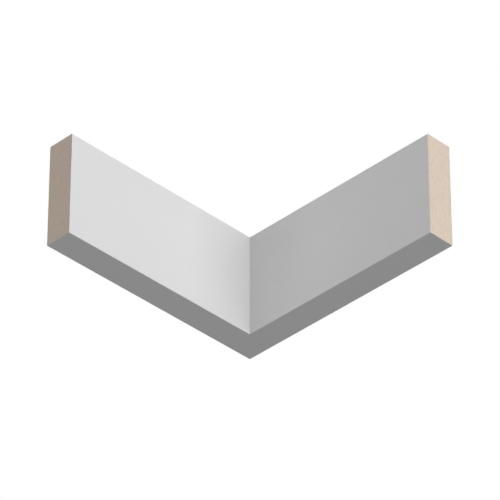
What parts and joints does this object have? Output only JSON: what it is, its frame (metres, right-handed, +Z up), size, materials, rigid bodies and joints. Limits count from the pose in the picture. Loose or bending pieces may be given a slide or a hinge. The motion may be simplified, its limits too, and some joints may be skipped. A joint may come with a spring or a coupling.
{
  "type": "moulding",
  "caption": "Plain square-edged moulding of white-coated fibreboard, mitred round an inside corner to trim the line where walls meet a ceiling or floor.",
  "frame": {"origin": "foot of the upright line where the two back faces meet, level with the underside", "axes": "+Z up the face, +X along the right length away from the corner, -Y along the left length; the room side is towards +X and -Y"},
  "size_m": [0.221, 0.221, 0.095],
  "materials": {
    "coated_fibreboard": "matte"
  },
  "bodies": {
    "root": {"left_length": "coated_fibreboard", "right_length": "coated_fibreboard"}
  },
  "joints": []
}
